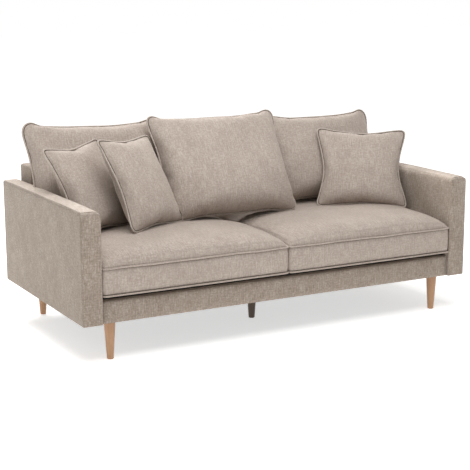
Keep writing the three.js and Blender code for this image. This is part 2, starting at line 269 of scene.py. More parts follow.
def turn_leg(place, material):
    low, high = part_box(f"leg_{place}")
    centre = (low + high) / 2
    top_radius = (high.x - low.x) / 2
    foot_radius = top_radius * LEG_TAPER
    profile = [
        (0, 0),
        (foot_radius - LEG_FOOT_EASE, 0),
        (foot_radius - LEG_FOOT_EASE * 0.3, LEG_FOOT_EASE * 0.3),
        (foot_radius, LEG_FOOT_EASE),
        (top_radius, high.z - LEG_TOP_EASE * 2),
        (top_radius - LEG_TOP_EASE * 0.3, high.z - LEG_TOP_EASE * 0.5),
        (top_radius - LEG_TOP_EASE, high.z),
        (0, high.z),
    ]
    bm = bmesh.new()
    verts = [bm.verts.new((centre.x + radius, centre.y, height)) for radius, height in profile]
    edges = [bm.edges.new(pair) for pair in zip(verts, verts[1:])]
    bmesh.ops.spin(
        bm,
        geom=edges,
        cent=(centre.x, centre.y, 0),
        axis=(0, 0, 1),
        angle=2 * math.pi,
        steps=LEG_SEGMENTS,
        use_merge=True,
    )
    bmesh.ops.remove_doubles(bm, verts=bm.verts, dist=1e-6)
    bmesh.ops.recalc_face_normals(bm, faces=bm.faces)
    leg = finish_piece(f"turned_leg_{place}", bm, material)
    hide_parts(f"leg_{place}")
    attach(leg, "frame")


for place in CORNERS:
    turn_leg(place, lacquered_beech)
turn_leg("centre", beech_painted_shade)


# ---- Timber, bolts and springs -----------------------------------------------------------------
# The frame inside is planed pine, the legs' hanger bolts are zinc-plated, and the sinuous seat
# springs are drawn and oil-tempered wire. Their shapes are the design's own.
PINE_RING = 0.009  # spacing of the growth lines on a planed board
PINE_RELIEF = 0.0004
PINE_TONES = ("C39A66", "DDBE90")


def planed_pine():
    """Planed softwood: broad wavy growth lines along the board, sawn dry and left unfinished."""
    material, tree = new_material("planed_pine")
    place = add_node(tree, "TexCoord")
    long_way = add_node(tree, "Mapping", inputs={"Vector": (place, "Object")}, Scale=(0.08, 1, 1))
    rings = add_node(
        tree,
        "TexWave",
        inputs={"Vector": (long_way, "Vector")},
        bands_direction="DIAGONAL",
        Scale=0.5 / PINE_RING,
        Distortion=5,
        Detail=3,
        Detail_Scale=1.5,
    )
    tone = add_node(
        tree,
        "Mix",
        inputs={"Factor": (rings, "Fac"), 6: linear(PINE_TONES[0]), 7: linear(PINE_TONES[1])},
        data_type="RGBA",
    )
    planing = add_node(
        tree, "Bump", inputs={"Height": (rings, "Fac")}, Strength=0.3, Distance=PINE_RELIEF
    )
    shader = add_node(
        tree,
        "BsdfPrincipled",
        inputs={"Base Color": (tone, 2), "Normal": (planing, "Normal")},
        Roughness=0.72,
    )
    add_node(tree, "OutputMaterial", inputs={"Surface": (shader, 0)})
    return material


def worked_steel(name, colour, roughness, mark_size):
    """Bright steel with a faint mottle from plating or drawing."""
    material, tree = new_material(name)
    place = add_node(tree, "TexCoord")
    mottle = add_node(
        tree, "TexNoise", inputs={"Vector": (place, "Object")}, Scale=1 / mark_size, Detail=3
    )
    spread = add_node(
        tree,
        "MapRange",
        inputs={"Value": (mottle, "Fac")},
        To_Min=roughness - 0.08,
        To_Max=roughness + 0.12,
    )
    shader = add_node(
        tree,
        "BsdfPrincipled",
        inputs={"Roughness": (spread, "Result")},
        Base_Color=linear(colour),
        Metallic=1.0,
    )
    add_node(tree, "OutputMaterial", inputs={"Surface": (shader, 0)})
    return material


pine = planed_pine()
zinc_plate = worked_steel("zinc_plated_steel", "B9BCBD", 0.38, 0.003)
tempered_wire = worked_steel("oil_tempered_wire", "55575A", 0.42, 0.002)

for node_name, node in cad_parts.items():
    if node_name.startswith("leg_bolt"):
        node.data.materials[0] = zinc_plate
    elif node_name.startswith("seat_spring"):
        node.data.materials[0] = tempered_wire
    elif "_block" in node_name or "_post" in node_name:
        node.data.materials[0] = pine
    elif "_rail" in node_name and not node_name.endswith("_cover"):
        node.data.materials[0] = pine


# ---- Dust cover --------------------------------------------------------------------------------
# A sheet of black spun-bonded cloth stapled under the frame, a little slack between the rails.
# It is cut to the underside between the arms.
DUST_SAG = 0.0035
DUST_DROP = 0.0006  # keeps it just off the rails
DUST_THICKNESS = 0.0008
LEG_HOLD = (0.04, 0.12)  # held flat within the first of each leg, and let go over the second
STAPLE_SPACING = 0.055
STAPLE_CROWN = 0.011
STAPLE_WIRE = 0.0009
STAPLE_INSET = 0.012
FIBRES = 420  # fibre clumps in a metre of spun-bonded cloth


def spun_bonded_cloth(name, colour, pit):
    """Spun-bonded polypropylene: dull, with a fine grid of heat-bonded pits."""
    material, tree = new_material(name)
    thin, thick = ([c * share for c in linear(colour)[:3]] + [1] for share in (0.6, 1.5))
    place = add_node(tree, "TexCoord")
    fibres = add_node(
        tree, "TexNoise", inputs={"Vector": (place, "Object")}, Scale=FIBRES, Detail=3
    )
    pits = add_node(
        tree, "TexVoronoi", inputs={"Vector": (place, "Object")}, Scale=1 / pit, Randomness=0.1
    )
    bond = add_node(
        tree, "MapRange", inputs={"Value": (pits, "Distance")}, From_Min=0.15, From_Max=0.35
    )
    height = add_node(
        tree, "Math", inputs={0: (bond, "Result"), 1: (fibres, "Fac")}, operation="ADD"
    )
    tone = add_node(
        tree, "Mix", inputs={"Factor": (fibres, "Fac"), 6: thin, 7: thick}, data_type="RGBA"
    )
    relief = add_node(
        tree, "Bump", inputs={"Height": (height, "Value")}, Strength=0.5, Distance=0.0004
    )
    shader = add_node(
        tree,
        "BsdfPrincipled",
        inputs={"Base Color": (tone, 2), "Normal": (relief, "Normal")},
        Roughness=0.9,
    )
    add_node(tree, "OutputMaterial", inputs={"Surface": (shader, 0)})
    return material


black_spun_bond = spun_bonded_cloth("black_spun_bonded_cloth", "343331", 0.003)
leg_boxes = [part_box(f"leg_{place}") for place in (*CORNERS, "centre")]


def thick_sheet(name, low, high, thickness, columns, rows, lift, material):
    """A flat sheet between two corners, moved by lift(x, y) at its top and given its thickness."""
    bm = bmesh.new()
    bmesh.ops.create_grid(bm, x_segments=columns, y_segments=rows, size=0.5)
    for vert in bm.verts:
        x = low.x + (vert.co.x + 0.5) * (high.x - low.x)
        y = low.y + (vert.co.y + 0.5) * (high.y - low.y)
        vert.co = (x, y, high.z + lift(x, y))
    bmesh.ops.recalc_face_normals(bm, faces=bm.faces)
    if bm.faces[:][0].normal.z < 0:
        bmesh.ops.reverse_faces(bm, faces=bm.faces)
    bmesh.ops.solidify(bm, geom=bm.faces[:], thickness=thickness)
    bmesh.ops.recalc_face_normals(bm, faces=bm.faces)
    return finish_piece(name, bm, material)


def dust_cover():
    low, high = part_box("dust_cover")

    def sag(x, y):
        across = math.sin(math.pi * (x - low.x) / (high.x - low.x) * 2) ** 2
        along = math.sin(math.pi * (y - low.y) / (high.y - low.y))
        ripple = 0.25 * noise.noise(Vector((x * 6, y * 6, 3)))
        near_leg = min(math.hypot(x - (a.x + b.x) / 2, y - (a.y + b.y) / 2) for a, b in leg_boxes)
        held = min(1, max(0, (near_leg - LEG_HOLD[0]) / LEG_HOLD[1]))
        return -(DUST_SAG * (across * along + ripple * across) * held) - DUST_DROP

    sheet = thick_sheet("dust_cover_cloth", low, high, DUST_THICKNESS, 60, 32, sag, black_spun_bond)
    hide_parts("dust_cover")
    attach(sheet, "frame")
    staples = staple_row(low, high)
    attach(staples, "frame")


def staple_row(low, high):
    """Staples along the four edges of the dust cover, crowns down."""
    inset = STAPLE_INSET
    spots = []
    for x0, x1, y in ((low.x, high.x, low.y + inset), (low.x, high.x, high.y - inset)):
        count = int((x1 - x0) / STAPLE_SPACING)
        spots += [(x0 + (i + 0.5) * (x1 - x0) / count, y, True) for i in range(count)]
    for x in (low.x + inset, high.x - inset):
        count = int((high.y - low.y) / STAPLE_SPACING)
        spots += [(x, low.y + (i + 0.5) * (high.y - low.y) / count, False) for i in range(count)]
    bm = bmesh.new()
    for x, y, sideways in spots:
        size = (STAPLE_CROWN, STAPLE_WIRE * 1.5, STAPLE_WIRE)
        size = size if sideways else (size[1], size[0], size[2])
        grown = bmesh.ops.create_cube(bm, size=1, matrix=Matrix.Diagonal((*size, 1)))
        tilt = Matrix.Rotation(0.3 * noise.noise(Vector((x * 40, y * 40, 0))), 3, "Z")
        bmesh.ops.rotate(bm, verts=grown["verts"], cent=(0, 0, 0), matrix=tilt)
        bmesh.ops.translate(bm, verts=grown["verts"], vec=(x, y, low.z + 0.0005))
    staples = finish_piece("dust_cover_staples", bm, zinc_plate, smooth=False)
    return staples


dust_cover()


# ---- Seat deck ---------------------------------------------------------------------------------
# Grey spun-bonded cloth drawn over the springs, from the front rail to the rear rail. The springs
# show through it as faint ridges from front to back.
DECK_RIDGE = 0.0012
RIDGE_WIDTH = 0.03
DECK_THICKNESS = 0.0016
DECK_TURN = 0.024  # depth of the strip that falls over the front rail
grey_spun_bond = spun_bonded_cloth("grey_spun_bonded_cloth", "4A4744", 0.004)


def seat_deck():
    low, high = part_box("seat_deck_cloth")
    front_fall = high.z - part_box("front_rail_cover")[1].z - 0.003
    springs = [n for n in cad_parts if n.startswith("seat_spring")]
    lines = [(left.x + right.x) / 2 for left, right in map(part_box, springs)]

    def over_springs(x, y):
        ridge = sum(math.exp(-(((x - line) / RIDGE_WIDTH) ** 2)) for line in lines)
        fall = max(0, 1 - (y - low.y) / DECK_TURN)
        return -DECK_RIDGE * (1 - min(1, ridge)) - front_fall * fall

    deck = thick_sheet("deck_cloth", low, high, DECK_THICKNESS, 96, 48, over_springs, grey_spun_bond)
    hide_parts("seat_deck_cloth")
    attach(deck, "frame")


seat_deck()


# ---- Front rail cover --------------------------------------------------------------------------
# Chenille over thin foam on the front rail, wrapped over its top edge. The chenille is a heathered
# greige: soft pile yarns of several tones, uneven along their length, that catch light at an angle.
FRAME_SHADE_TONES = ("786B60", "998C80", "BBAFA4")  # a darker copy of the cushions' chenille for the frame's cover: painted shade
YARN = 0.0050  # width of a slub that shows as a streak
SLUB_LENGTH = 0.042
CLOUD_SIZE = (0.09, 0.14)  # broad, faint changes of tone from dyeing and handling
WEAVE_PITCH = 0.0032  # drawn about twice as coarse as the real yarns, so that it shows
RAIL_FOAM = 0.006
RAIL_WRAP = 0.0022  # thickness of the cloth on the rail's top
RAIL_TOP_ROUND = 0.010
RAIL_STEP = (0.03, 0.015)  # along the rail and up it
RAIL_SWELL = 0.0022  # how far the foam lifts the cloth, and how unevenly
RAIL_WAVE = 0.0014


def woven_chenille(name, tones, spread=0.20, top_highlight_tones=None):
    """The chenille in three tones; the smaller the spread, the stronger its heather. Paler tones, when
    given for the top, are blended in on faces that point up: a painted highlight."""
    material, tree = new_material(name)
    cloth = add_node(tree, "UVMap", uv_map="cloth")

    def streaks(across, along, detail, lift):
        place = add_node(
            tree,
            "Mapping",
            inputs={"Vector": (cloth, "UV")},
            Scale=(1 / across, 1 / along, 1),
            Location=(0, 0, lift),
        )
        return add_node(
            tree, "TexNoise", inputs={"Vector": (place, "Vector")}, Scale=1, Detail=detail
        )

    warp = streaks(YARN, SLUB_LENGTH, 2, 0)
    weft = streaks(SLUB_LENGTH * 0.7, YARN, 2, 3)
    tufts = streaks(YARN * 1.3, YARN * 1.6, 3, 7)
    clouds = streaks(*CLOUD_SIZE, 2, 11)
    total = None
    for source, share in ((warp, 0.31), (weft, 0.20), (tufts, 0.34), (clouds, 0.15)):
        scaled = add_node(
            tree, "Math", inputs={0: (source, "Fac"), 1: share}, operation="MULTIPLY"
        )
        if total is None:
            total = scaled
        else:
            both = {0: (total, "Value"), 1: (scaled, "Value")}
            total = add_node(tree, "Math", inputs=both, operation="ADD")
    heathers = []
    for palette in (tones, top_highlight_tones or tones):
        heather = add_node(tree, "ValToRGB", inputs={"Fac": (total, "Value")})
        ramp = heather.color_ramp
        ramp.elements[0].position = 0.5 - spread
        ramp.elements[1].position = 0.5 + spread
        ramp.elements.new(0.5)
        for stop, tone in zip(ramp.elements, palette):
            stop.color = linear(tone)
        heathers.append(heather)
    place = add_node(tree, "TexCoord")
    up = add_node(tree, "SeparateXYZ", inputs={"Vector": (place, "Normal")})
    top_highlight_mask = add_node(
        tree,
        "MapRange",
        inputs={"Value": (up, "Z")},
        interpolation_type="SMOOTHSTEP",
        From_Min=0.45,
        From_Max=0.9,
    )
    # Faces that point up take the paler tones: a painted highlight.
    heather_and_top_highlight = add_node(
        tree,
        "Mix",
        inputs={"Factor": (top_highlight_mask, "Result"), 6: (heathers[0], "Color"), 7: (heathers[1], "Color")},
        data_type="RGBA",
    )
    threads = [
        add_node(
            tree,
            "TexWave",
            inputs={"Vector": (cloth, "UV")},
            bands_direction=direction,
            Scale=0.5 / WEAVE_PITCH / math.pi,
            Distortion=1.5,
            Detail=1,
            Detail_Scale=2,
        )
        for direction in ("X", "Y")
    ]
    crossed = add_node(
        tree, "Math", inputs={0: (threads[0], "Fac"), 1: (threads[1], "Fac")}, operation="MULTIPLY"
    )
    pile = add_node(
        tree, "Math", inputs={0: (crossed, "Value"), 1: (tufts, "Fac")}, operation="ADD"
    )
    relief = add_node(
        tree, "Bump", inputs={"Height": (pile, "Value")}, Strength=0.55, Distance=0.0009
    )
    shader = add_node(
        tree,
        "BsdfPrincipled",
        inputs={"Base Color": (heather_and_top_highlight, 2), "Normal": (relief, "Normal")},
        Roughness=0.95,
        Specular_IOR_Level=0.25,
        Sheen_Weight=0.6,
        Sheen_Roughness=0.35,
        Sheen_Tint=linear("EFE6DC"),
    )
    add_node(tree, "OutputMaterial", inputs={"Surface": (shader, 0)})
    return material


# The frame's cover, on the arms, back and rail, in a darker chenille: painted shade.
frame_shade_chenille = woven_chenille("woven_chenille_painted_shade", FRAME_SHADE_TONES, spread=0.17)


def lay_cloth(bm, shift):
    """Lays the cloth's own coordinates, in metres, flat on each face from the side it faces."""
    layer = bm.loops.layers.uv.new("cloth")
    bm.normal_update()
    for face in bm.faces:
        facing = max(range(3), key=lambda i: abs(face.normal[i]))
        across, along = ((1, 2), (0, 2), (0, 1))[facing]
        for loop in face.loops:
            place = loop.vert.co
            loop[layer].uv = (place[across] + shift, place[along] + shift * 0.7 + facing)


def slice_across(bm, axis, places):
    """Cuts edge loops through the whole mesh at places along one axis."""
    normal = Vector([1.0 if i == axis else 0.0 for i in range(3)])
    for place in places:
        bmesh.ops.bisect_plane(
            bm,
            geom=bm.verts[:] + bm.edges[:] + bm.faces[:],
            dist=1e-6,
            plane_co=normal * place,
            plane_no=normal,
        )


def spread_out(low, high, step, low_round=0.0, high_round=0.0, arc_steps=4):
    """Places between low and high: close together in the rounded ends, a step apart between."""
    places = [low + low_round * i / arc_steps for i in range(1, arc_steps + 1) if low_round]
    places += [high - high_round * i / arc_steps for i in range(1, arc_steps + 1) if high_round]
    start, end = low + low_round, high - high_round
    count = max(1, round((end - start) / step))
    places += [start + (end - start) * i / count for i in range(1, count)]
    return sorted(places)


def rail_cover():
    low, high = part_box("front_rail_cover")
    inside = low.y + RAIL_FOAM
    shelf = high.z - RAIL_WRAP
    outline = [
        (low.y, low.z),
        (inside, low.z),
        (inside, shelf),
        (high.y, shelf),
        (high.y, high.z),
        (low.y, high.z),
    ]
    bm = bmesh.new()
    verts = [bm.verts.new((low.x, y, z)) for y, z in outline]
    end = bm.faces.new(verts)
    grown = bmesh.ops.extrude_face_region(bm, geom=[end])
    moved = [item for item in grown["geom"] if isinstance(item, bmesh.types.BMVert)]
    bmesh.ops.translate(bm, verts=moved, vec=(high.x - low.x, 0, 0))
    front_top = [
        edge
        for edge in bm.edges
        if all(abs(v.co.y - low.y) < 1e-6 and abs(v.co.z - high.z) < 1e-6 for v in edge.verts)
    ]
    bmesh.ops.bevel(
        bm, geom=front_top, offset=RAIL_TOP_ROUND, affect="EDGES", segments=5, profile=0.5, material=-1
    )
    bmesh.ops.recalc_face_normals(bm, faces=bm.faces)
    slice_across(bm, 0, spread_out(low.x, high.x, RAIL_STEP[0]))
    slice_across(bm, 2, spread_out(low.z, high.z - RAIL_TOP_ROUND, RAIL_STEP[1]))
    for vert in bm.verts:
        if vert.co.y < inside - 0.001:
            up = (vert.co.z - low.z) / (high.z - low.z)
            across = (vert.co.x - low.x) / (high.x - low.x)
            soft = max(0, (1 - (2 * up - 1) ** 4)) * min(1, 12 * min(across, 1 - across))
            wave = noise.noise(Vector((vert.co.x * 7, 0, vert.co.z * 9)))
            vert.co.y -= (RAIL_SWELL + RAIL_WAVE * wave) * soft
    lay_cloth(bm, 0.3)
    cover = finish_piece("rail_cover", bm, frame_shade_chenille)
    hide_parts("front_rail_cover")
    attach(cover, "frame")


rail_cover()


# ---- Arms --------------------------------------------------------------------------------------
# Slim track arms: chenille over foam, sewn from a front panel, two side panels and a top strip.
# The inner top edge is rolled, the left arm's outer one is crisp, and a narrow seam follows the
# panels' edges. The faces that point up are painted paler, a painted highlight, and the rest is in
# the frame's darker chenille, painted shade.
# Paler tones for the arms' faces that point up: a painted highlight.
TOP_HIGHLIGHT_TONES = ("A09286", "BEB1A5", "DCD1C6")
ARM_INNER_ROLL = 0.030
ARM_OUTER_ROLL = {"left": 0.007, "right": 0.026}
ARM_FRONT_ROLL = 0.018
ARM_EDGE_ROLL = 0.007
ARM_FOOT_ROLL = 0.004
SEAM_RADIUS = 0.0016
SEAM_SINK = 0.8  # where on an edge's roll its seam lies
CLOTH_STEP = 0.022
arm_chenille_shade_and_highlight = woven_chenille("arm_chenille_painted_shade_and_highlight", FRAME_SHADE_TONES, 0.17, TOP_HIGHLIGHT_TONES)


class PaddedBlock:
    """A block with rolled edges and softly swollen faces. rolls holds (axis, side, axis, side,
    radius) for each rolled edge, and swell the rise of each face, keyed by (axis, side)."""

    def __init__(self, low, high, rolls, swell, seed):
        self.low, self.high, self.rolls, self.swell, self.seed = low, high, rolls, swell, seed

    def surface(self, place):
        """Where a point on the plain block's face lies on the upholstered one."""
        eased = Vector(place)
        for a, side_a, b, side_b, radius in self.rolls:
            centre_a = (self.high[a] if side_a > 0 else self.low[a]) - side_a * radius
            centre_b = (self.high[b] if side_b > 0 else self.low[b]) - side_b * radius
            out_a = (eased[a] - centre_a) * side_a / radius
            out_b = (eased[b] - centre_b) * side_b / radius
            if out_a > 0 and out_b > 0:
                pull = max(out_a, out_b) / math.hypot(out_a, out_b)
                eased[a] = centre_a + side_a * radius * out_a * pull
                eased[b] = centre_b + side_b * radius * out_b * pull
        for (axis, side), rise in self.swell.items():
            face = self.high[axis] if side > 0 else self.low[axis]
            if abs(place[axis] - face) > 1e-5:
                continue
            others = [i for i in range(3) if i != axis]
            soft = 1.0
            for other in others:
                share = (place[other] - self.low[other]) / (self.high[other] - self.low[other])
                soft *= max(0, 1 - abs(2 * share - 1) ** 5)
            wave = noise.noise(Vector(place) * 5 + Vector((self.seed, axis, side)))
            eased[axis] += side * rise * soft * (1 + 0.6 * wave)
        return eased

    def mesh(self, step):
        rounds = {(axis, side): 0.0 for axis in range(3) for side in (-1, 1)}
        for a, side_a, b, side_b, radius in self.rolls:
            rounds[a, side_a] = max(rounds[a, side_a], radius)
            rounds[b, side_b] = max(rounds[b, side_b], radius)
        size = self.high - self.low
        bm = bmesh.new()
        bmesh.ops.create_cube(bm, size=1, matrix=Matrix.Diagonal((*size, 1)))
        bmesh.ops.translate(bm, verts=bm.verts, vec=(self.low + self.high) / 2)
        for axis in range(3):
            ends = (self.low[axis], self.high[axis], step, rounds[axis, -1], rounds[axis, 1])
            slice_across(bm, axis, spread_out(*ends, arc_steps=5))
        for vert in bm.verts:
            vert.co = self.surface(vert.co)
        bmesh.ops.recalc_face_normals(bm, faces=bm.faces)
        return bm


def walk(corners, step=0.006):
    """Points every step along straight lines between corners."""
    points = []
    for start, end in zip(corners, corners[1:]):
        count = max(1, round((end - start).length / step))
        points += [start.lerp(end, i / count) for i in range(count)]
    return points + [corners[-1]]


def sew_cord(name, lines, radius, material, sides=2):
    """A round cord along each line of points; a line is (points, closed)."""
    curve = bpy.data.curves.new(name, "CURVE")
    curve.dimensions = "3D"
    curve.bevel_depth = radius
    curve.bevel_resolution = sides
    curve.use_fill_caps = True
    for points, closed in lines:
        spline = curve.splines.new("POLY")
        spline.points.add(len(points) - 1)
        spline.points.foreach_set("co", [c for p in points for c in (*p, 1)])
        spline.use_cyclic_u = closed
    shaped = bpy.data.objects.new(name, curve)
    bpy.context.scene.collection.objects.link(shaped)
    bpy.context.view_layer.update()
    bm = bmesh.new()
    bm.from_mesh(shaped.to_mesh())
    bpy.data.objects.remove(shaped)
    bpy.data.curves.remove(curve)
    bmesh.ops.remove_doubles(bm, verts=bm.verts, dist=1e-6)
    bmesh.ops.recalc_face_normals(bm, faces=bm.faces)
    lay_cloth(bm, 0.9)
    return finish_piece(name, bm, material)


def track_arm(side, sign):
    low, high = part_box(f"arm_cover_{side}")
    inner = -sign
    rolls = [
        (0, inner, 2, 1, ARM_INNER_ROLL),
        (0, sign, 2, 1, ARM_OUTER_ROLL[side]),
        (1, -1, 2, 1, ARM_FRONT_ROLL),
        (1, 1, 2, 1, ARM_EDGE_ROLL),
        (0, inner, 1, -1, ARM_EDGE_ROLL),
        (0, sign, 1, -1, ARM_EDGE_ROLL),
        (0, sign, 1, 1, ARM_EDGE_ROLL),
        (1, -1, 2, -1, ARM_FOOT_ROLL),
        (0, sign, 2, -1, ARM_FOOT_ROLL),
    ]
    swell = {(0, sign): 0.004, (0, inner): 0.001, (1, -1): 0.003, (2, 1): 0.003, (1, 1): 0.0015}
    block = PaddedBlock(low, high, rolls, swell, seed=sign)
    bm = block.mesh(CLOTH_STEP)
    lay_cloth(bm, 1.3 if sign < 0 else 2.6)
    cover = finish_piece(f"arm_upholstery_{side}", bm, arm_chenille_shade_and_highlight)
    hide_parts(f"arm_cover_{side}")
    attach(cover, "frame")
    inside, outside = (low.x, high.x) if inner < 0 else (high.x, low.x)
    foot = low.z + ARM_FOOT_ROLL
    seam_y = low.y + ARM_EDGE_ROLL * SEAM_SINK
    front = [
        Vector((inside, seam_y, foot)),
        Vector((inside, seam_y, high.z)),
        Vector((outside, seam_y, high.z)),
        Vector((outside, seam_y, foot)),
    ]
    seam_z = high.z - ARM_OUTER_ROLL[side] * SEAM_SINK
    top = [Vector((outside, low.y + 0.01, seam_z)), Vector((outside, high.y - 0.004, seam_z))]
    rear_y = high.y - ARM_EDGE_ROLL * SEAM_SINK
    rear = [Vector((outside, rear_y, foot)), Vector((outside, rear_y, high.z - 0.008))]
    lines = [([block.surface(p) for p in walk(path)], False) for path in (front, top, rear)]
    seam = sew_cord(f"arm_seam_{side}", lines, SEAM_RADIUS, frame_shade_chenille)
    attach(seam, "frame")
    return cover


arm_left = track_arm("left", -1)
arm_right = track_arm("right", 1)


# ---- Back --------------------------------------------------------------------------------------
# The upholstered back between the arms: foam and chenille over the posts, with a plain panel
# closed along a seam at the rear.
BACK_STEP = 0.03
BACK_SEAM_DROP = 0.011
BACK_SEAM_INSET = 0.006


def back_upholstery():
    low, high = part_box("back_cover")
    rolls = [(1, -1, 2, 1, 0.020), (1, 1, 2, 1, 0.012), (0, -1, 2, 1, 0.010), (0, 1, 2, 1, 0.010)]
    swell = {(1, -1): 0.001, (1, 1): 0.004, (2, 1): 0.003}
    block = PaddedBlock(low, high, rolls, swell, seed=5)
    bm = block.mesh(BACK_STEP)
    lay_cloth(bm, 4.1)
    cover = finish_piece("back_upholstery", bm, frame_shade_chenille)
    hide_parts("back_cover")
    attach(cover, "frame")
    left, right = low.x + BACK_SEAM_INSET, high.x - BACK_SEAM_INSET
    foot, top = low.z + BACK_SEAM_INSET, high.z - BACK_SEAM_DROP
    path = [Vector((x, high.y, z)) for x, z in ((left, foot), (left, top), (right, top), (right, foot))]
    line = [block.surface(p) for p in walk(path)]
    seam = sew_cord("back_seam", [(line, False)], SEAM_RADIUS, frame_shade_chenille)
    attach(seam, "frame")


back_upholstery()


# ---- Seat cushions -----------------------------------------------------------------------------
# Two boxed cushions: a top and a bottom panel joined by a border, with piping in both joins and a
# nylon zip in the rear border, and a thin dark cord beside each piping: painted shade in the seam's
# crease. A foam core wrapped in fibre raises the top panel into a high crown; its rear gives a
# little under the cushions that stand on it.
CHENILLE_TONES = ("8F8278", "AB9E94", "C9BEB4")
# Dark tones for the thin cords beside the piping: painted shade in the seam's crease.
CREASE_SHADE_TONES = ("4E443C", "5E534A", "6F645A")
SEAT_BORDER = 0.115
SEAT_PIPING = 0.0036
SEAT_STEP = 0.024
SEAT_CORNER = 0.018
BORDER_SWELL = 0.006
SEAT_GIVE = 0.014
GIVE_START = 0.10  # how far in front of the middle the crown begins to give
GIVE_LENGTH = 0.18
SEAM_DRAW = 0.004  # how far the sewn edges are drawn in under their piping
PIPING_PROUD = 0.0020
PIPING_WANDER = 0.0026  # how far the sewn edge strays up and down along the cushion
CREASE_CORD_RADIUS = 0.0018
CREASE_CORD_SINK = -0.0004
ZIP_COLOUR = "8E8378"
ZIP_PITCH = 0.0014
ZIP_RADIUS = 0.0017
SEAT_ZIP_SHARE = 0.8
PUCKER = 0.0022  # the soft ripples that a gathered seam leaves in the cloth beside it
PUCKER_REACH = 0.030


def coiled_nylon(name, colour, pitch):
    """The coil of a nylon zip: close turns across the chain, with a dull shine."""
    material, tree = new_material(name)
    place = add_node(tree, "TexCoord")
    turns = add_node(
        tree,
        "TexWave",
        inputs={"Vector": (place, "Object")},
        bands_direction="X",
        Scale=0.5 / pitch / math.pi,
    )
    relief = add_node(
        tree, "Bump", inputs={"Height": (turns, "Fac")}, Strength=0.8, Distance=0.0008
    )
    shader = add_node(
        tree,
        "BsdfPrincipled",
        inputs={"Normal": (relief, "Normal")},
        Base_Color=linear(colour),
        Roughness=0.45,
    )
    add_node(tree, "OutputMaterial", inputs={"Surface": (shader, 0)})
    return material


chenille = woven_chenille("woven_chenille", CHENILLE_TONES)
crease_shade_cloth = woven_chenille("chenille_painted_crease_shade", CREASE_SHADE_TONES)
zip_coil = coiled_nylon("nylon_zip_coil", ZIP_COLOUR, ZIP_PITCH)


def seat_cushion(side, sign):
    name = f"seat_cushion_{side}"
    low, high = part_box(f"seat_cushion_cover_{side}")
    border_top = low.z + SEAT_BORDER
    crown = high.z - border_top
    rolls = [(0, a, 1, b, SEAT_CORNER) for a in (-1, 1) for b in (-1, 1)]
    swell = {(1, -1): BORDER_SWELL, (1, 1): 0.001}
    block = PaddedBlock(low, Vector((high.x, high.y, border_top)), rolls, swell, seed=sign * 3)
    middle = (low + high) / 2
    half = (high - low) / 2

    def raise_top(place):
        across = min(1, abs(place.x - middle.x) / half.x)
        along = min(1, abs(place.y - middle.y) / half.y)
        dome = ((1 - across**4) * (1 - along**4)) ** 0.4
        wave = noise.noise(Vector((place.x * 4, place.y * 4, sign)))
        fine = noise.noise(Vector((place.x * 14, place.y * 14, sign)))
        rear = min(1, max(0, (place.y - middle.y + GIVE_START) / GIVE_LENGTH))
        give = SEAT_GIVE * rear * rear * (3 - 2 * rear) * min(1, dome * 1.5)
        inside = min((1 - across) * half.x, (1 - along) * half.y) / PUCKER_REACH
        gather = noise.noise(Vector((place.x * 22, place.y * 22, 4))) * inside * math.exp(1 - inside)
        ripple = 0.0012 * fine * min(1, dome * 2) + PUCKER * gather
        return crown * dome * (1 + 0.03 * wave) - give + ripple

    bm = block.mesh(SEAT_STEP)
    for vert in bm.verts:
        on_edge = any(abs(vert.co.z - z) < 1e-5 for z in (low.z, border_top))
        if vert.co.z > border_top - 1e-5:
            vert.co.z += raise_top(vert.co)
        rim = max(abs(vert.co.x - middle.x) / half.x, abs(vert.co.y - middle.y) / half.y)
        if on_edge and rim > 0.97:
            away = Vector((vert.co.x - middle.x, vert.co.y - middle.y, 0)).normalized()
            vert.co -= away * SEAM_DRAW
    lay_cloth(bm, 5.2 if sign < 0 else 6.9)
    cushion = finish_piece(f"{name}_upholstery", bm, chenille)
    smoother = cushion.modifiers.new("smooth_foam", "SUBSURF")
    smoother.levels = smoother.render_levels = 1
    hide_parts(f"seat_cushion_cover_{side}", f"seat_cushion_insert_{side}")
    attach(cushion, name)

    def edge_loop(z, proud=PIPING_PROUD):
        corners = [
            Vector((low.x, low.y, z)),
            Vector((high.x, low.y, z)),
            Vector((high.x, high.y, z)),
            Vector((low.x, high.y, z)),
        ]
        loop = []
        for place in walk(corners + corners[:1], 0.008)[:-1]:
            at = block.surface(place)
            on_face = abs(at.y - middle.y) > half.y - 0.02
            away = Vector((0, math.copysign(on_face, at.y - middle.y), 0))
            if z > middle.z - 0.06:
                at.z += PIPING_WANDER * noise.noise(Vector((at.x * 7, at.y * 7, sign)))
            at += away * proud
            at.x = min(max(at.x, low.x + SEAT_PIPING), high.x - SEAT_PIPING)
            at.y = min(at.y, high.y - SEAT_PIPING)
            loop.append(at)
        return loop

    foot = low.z + SEAT_PIPING
    lines = [(edge_loop(z), True) for z in (border_top, foot)]
    piping = sew_cord(f"{name}_piping", lines, SEAT_PIPING, chenille, sides=3)
    # A thin dark cord beside each piping: painted shade in its crease.
    beside = SEAT_PIPING + CREASE_CORD_RADIUS * 0.4
    sunk = [(edge_loop(z, CREASE_CORD_SINK), True) for z in (border_top - beside, foot + beside)]
    crease_shade_cords = sew_cord(f"{name}_crease_shade", sunk, CREASE_CORD_RADIUS, crease_shade_cloth)
    zip_z = (low.z + border_top) / 2
    ends = [Vector((middle.x + a * half.x * SEAT_ZIP_SHARE, high.y, zip_z)) for a in (-1, 1)]
    zip_line = [block.surface(p) for p in walk(ends)]
    chain = sew_cord(f"{name}_zip", [(zip_line, False)], ZIP_RADIUS, zip_coil)
    for piece in (piping, crease_shade_cords, chain):
        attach(piece, name)
    return cushion


seat_cushions = [seat_cushion("left", -1), seat_cushion("right", 1)]
